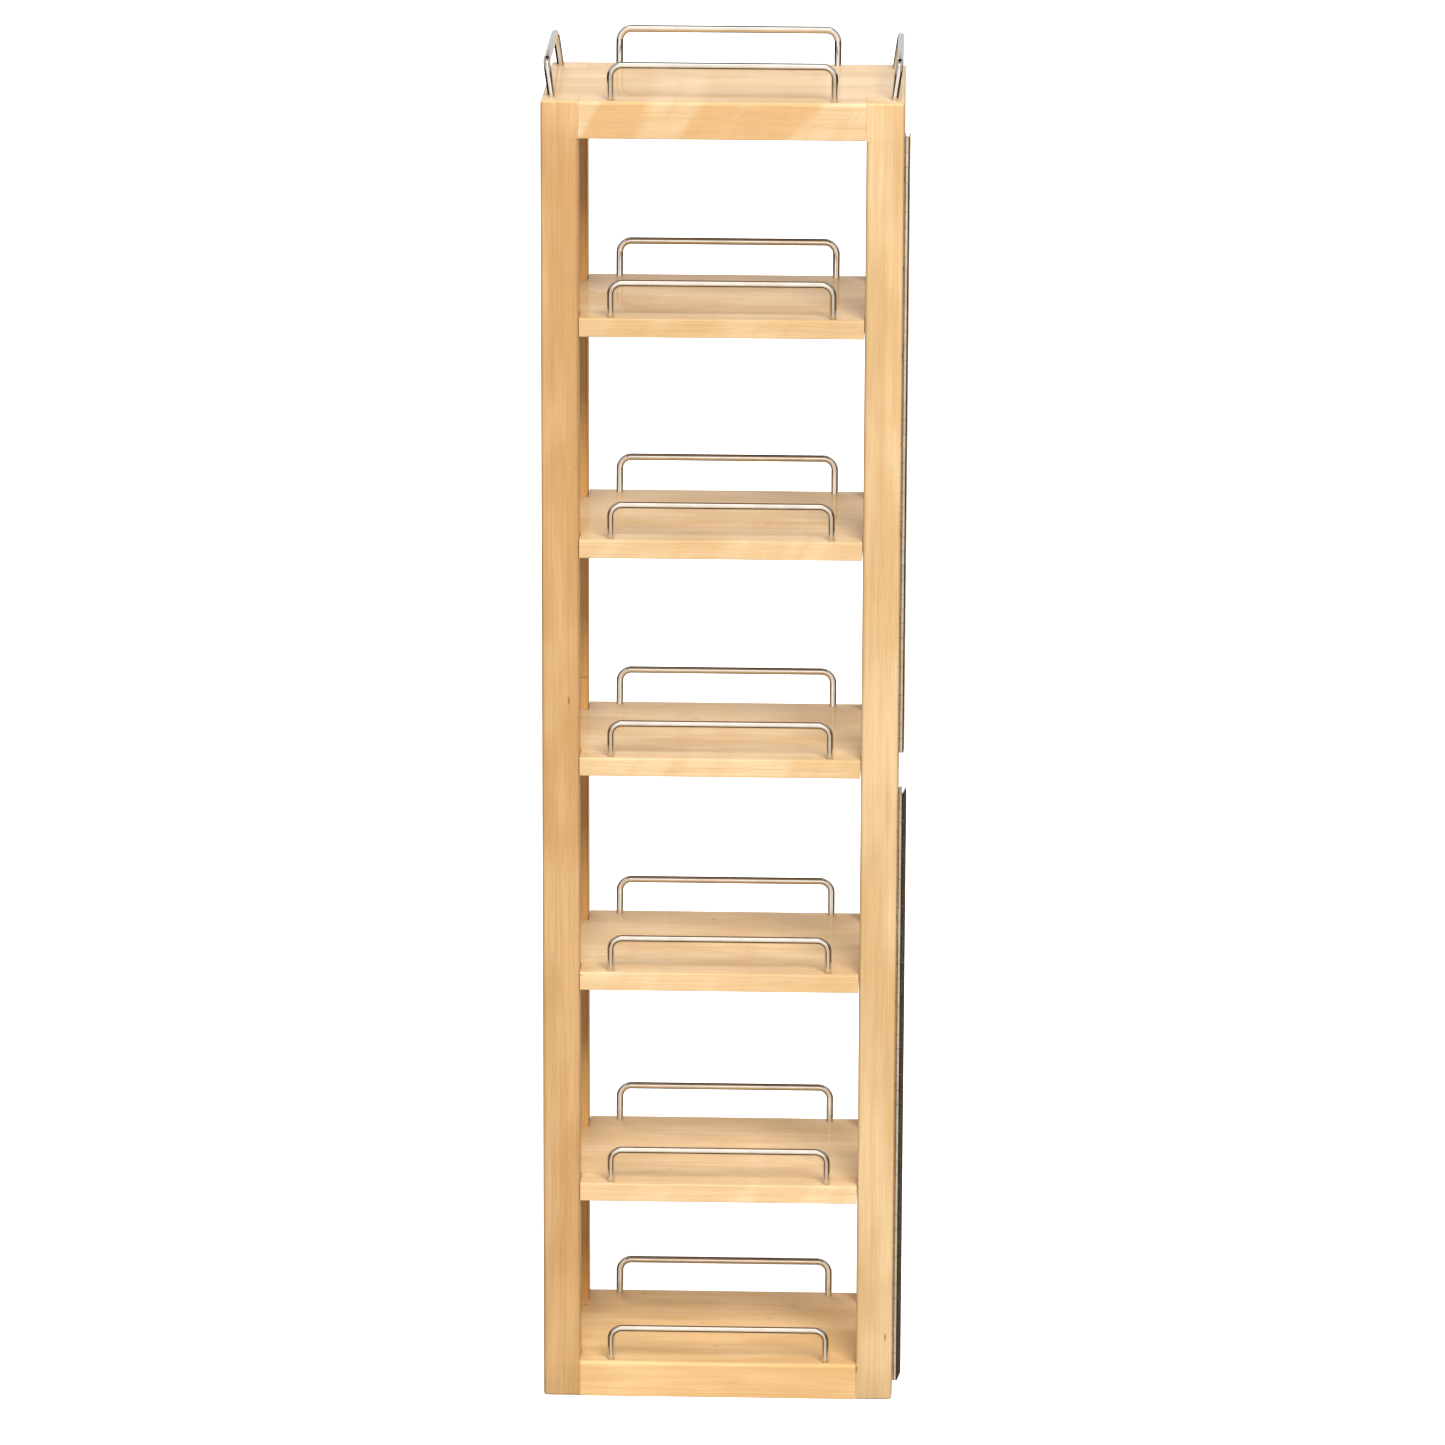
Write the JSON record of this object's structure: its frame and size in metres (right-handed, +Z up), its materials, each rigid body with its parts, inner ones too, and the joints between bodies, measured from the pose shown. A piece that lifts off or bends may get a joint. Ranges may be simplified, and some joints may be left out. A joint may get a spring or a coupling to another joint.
{
  "type": "pantry shelf tower",
  "caption": "Tall narrow open wooden shelf tower for a pantry, with notched lift-out shelves, chrome wire gallery rails and continuous hinges down one side.",
  "frame": {"origin": "middle of the footprint, on the surface that the tower stands on", "axes": "+Z up, -Y out of the front (the side seen with the hinges on the right), +X to the right, towards the hinges"},
  "size_m": [0.3123, 0.1906, 1.1823],
  "materials": {
    "post_wood": "clear lacquer, satin",
    "board_wood": "clear lacquer, satin",
    "shelf_wood": "clear lacquer, satin",
    "rail_chrome": "bright plated",
    "hinge_steel": "plated, semi bright",
    "pin_steel": "plated"
  },
  "bodies": {
    "frame": {"post_front_left": "post_wood", "post_front_right": "post_wood", "post_back_left": "post_wood", "post_back_right": "post_wood", "bottom_board": "board_wood", "bottom_rail_front": "rail_chrome", "bottom_rail_back": "rail_chrome", "top_board": "board_wood", "top_rail_front": "rail_chrome", "top_rail_back": "rail_chrome", "top_rail_left": "rail_chrome", "top_rail_right": "rail_chrome", "shelf_1_pin_front_left": "pin_steel", "shelf_1_pin_front_right": "pin_steel", "shelf_1_pin_back_left": "pin_steel", "shelf_1_pin_back_right": "pin_steel", "shelf_2_pin_front_left": "pin_steel", "shelf_2_pin_front_right": "pin_steel", "shelf_2_pin_back_left": "pin_steel", "shelf_2_pin_back_right": "pin_steel", "shelf_3_pin_front_left": "pin_steel", "shelf_3_pin_front_right": "pin_steel", "shelf_3_pin_back_left": "pin_steel", "shelf_3_pin_back_right": "pin_steel", "shelf_4_pin_front_left": "pin_steel", "shelf_4_pin_front_right": "pin_steel", "shelf_4_pin_back_left": "pin_steel", "shelf_4_pin_back_right": "pin_steel", "shelf_5_pin_front_left": "pin_steel", "shelf_5_pin_front_right": "pin_steel", "shelf_5_pin_back_left": "pin_steel", "shelf_5_pin_back_right": "pin_steel", "hinge_lower_fixed_leaf": "hinge_steel", "hinge_lower_pin": "pin_steel", "hinge_lower_screw_1": "pin_steel", "hinge_lower_screw_2": "pin_steel", "hinge_lower_screw_3": "pin_steel", "hinge_upper_fixed_leaf": "hinge_steel", "hinge_upper_pin": "pin_steel", "hinge_upper_screw_1": "pin_steel", "hinge_upper_screw_2": "pin_steel", "hinge_upper_screw_3": "pin_steel"},
    "shelf_1": {"shelf_1": "shelf_wood", "shelf_1_rail_front": "rail_chrome", "shelf_1_rail_back": "rail_chrome"},
    "shelf_2": {"shelf_2": "shelf_wood", "shelf_2_rail_front": "rail_chrome", "shelf_2_rail_back": "rail_chrome"},
    "shelf_3": {"shelf_3": "shelf_wood", "shelf_3_rail_front": "rail_chrome", "shelf_3_rail_back": "rail_chrome"},
    "shelf_4": {"shelf_4": "shelf_wood", "shelf_4_rail_front": "rail_chrome", "shelf_4_rail_back": "rail_chrome"},
    "shelf_5": {"shelf_5": "shelf_wood", "shelf_5_rail_front": "rail_chrome", "shelf_5_rail_back": "rail_chrome"},
    "lower_leaf": {"hinge_lower_moving_leaf": "hinge_steel"},
    "upper_leaf": {"hinge_upper_moving_leaf": "hinge_steel"}
  },
  "joints": [
    {"name": "shelf_1_lift", "type": "slide", "parent": "frame", "child": "shelf_1", "axis": [0, 0, 1], "range_m": [0, 0.135]},
    {"name": "shelf_2_lift", "type": "slide", "parent": "frame", "child": "shelf_2", "axis": [0, 0, 1], "range_m": [0, 0.135]},
    {"name": "shelf_3_lift", "type": "slide", "parent": "frame", "child": "shelf_3", "axis": [0, 0, 1], "range_m": [0, 0.135]},
    {"name": "shelf_4_lift", "type": "slide", "parent": "frame", "child": "shelf_4", "axis": [0, 0, 1], "range_m": [0, 0.135]},
    {"name": "shelf_5_lift", "type": "slide", "parent": "frame", "child": "shelf_5", "axis": [0, 0, 1], "range_m": [0, 0.115]},
    {"name": "lower_hinge", "type": "hinge", "parent": "frame", "child": "lower_leaf", "pos_m": [0.1549, -0.09265, 0.2847], "axis": [0, 0, -1], "range_deg": [-8, 172]},
    {"name": "upper_hinge", "type": "hinge", "parent": "frame", "child": "upper_leaf", "pos_m": [0.1549, -0.09265, 0.8545], "axis": [0, 0, -1], "range_deg": [-2, 178]}
  ]
}
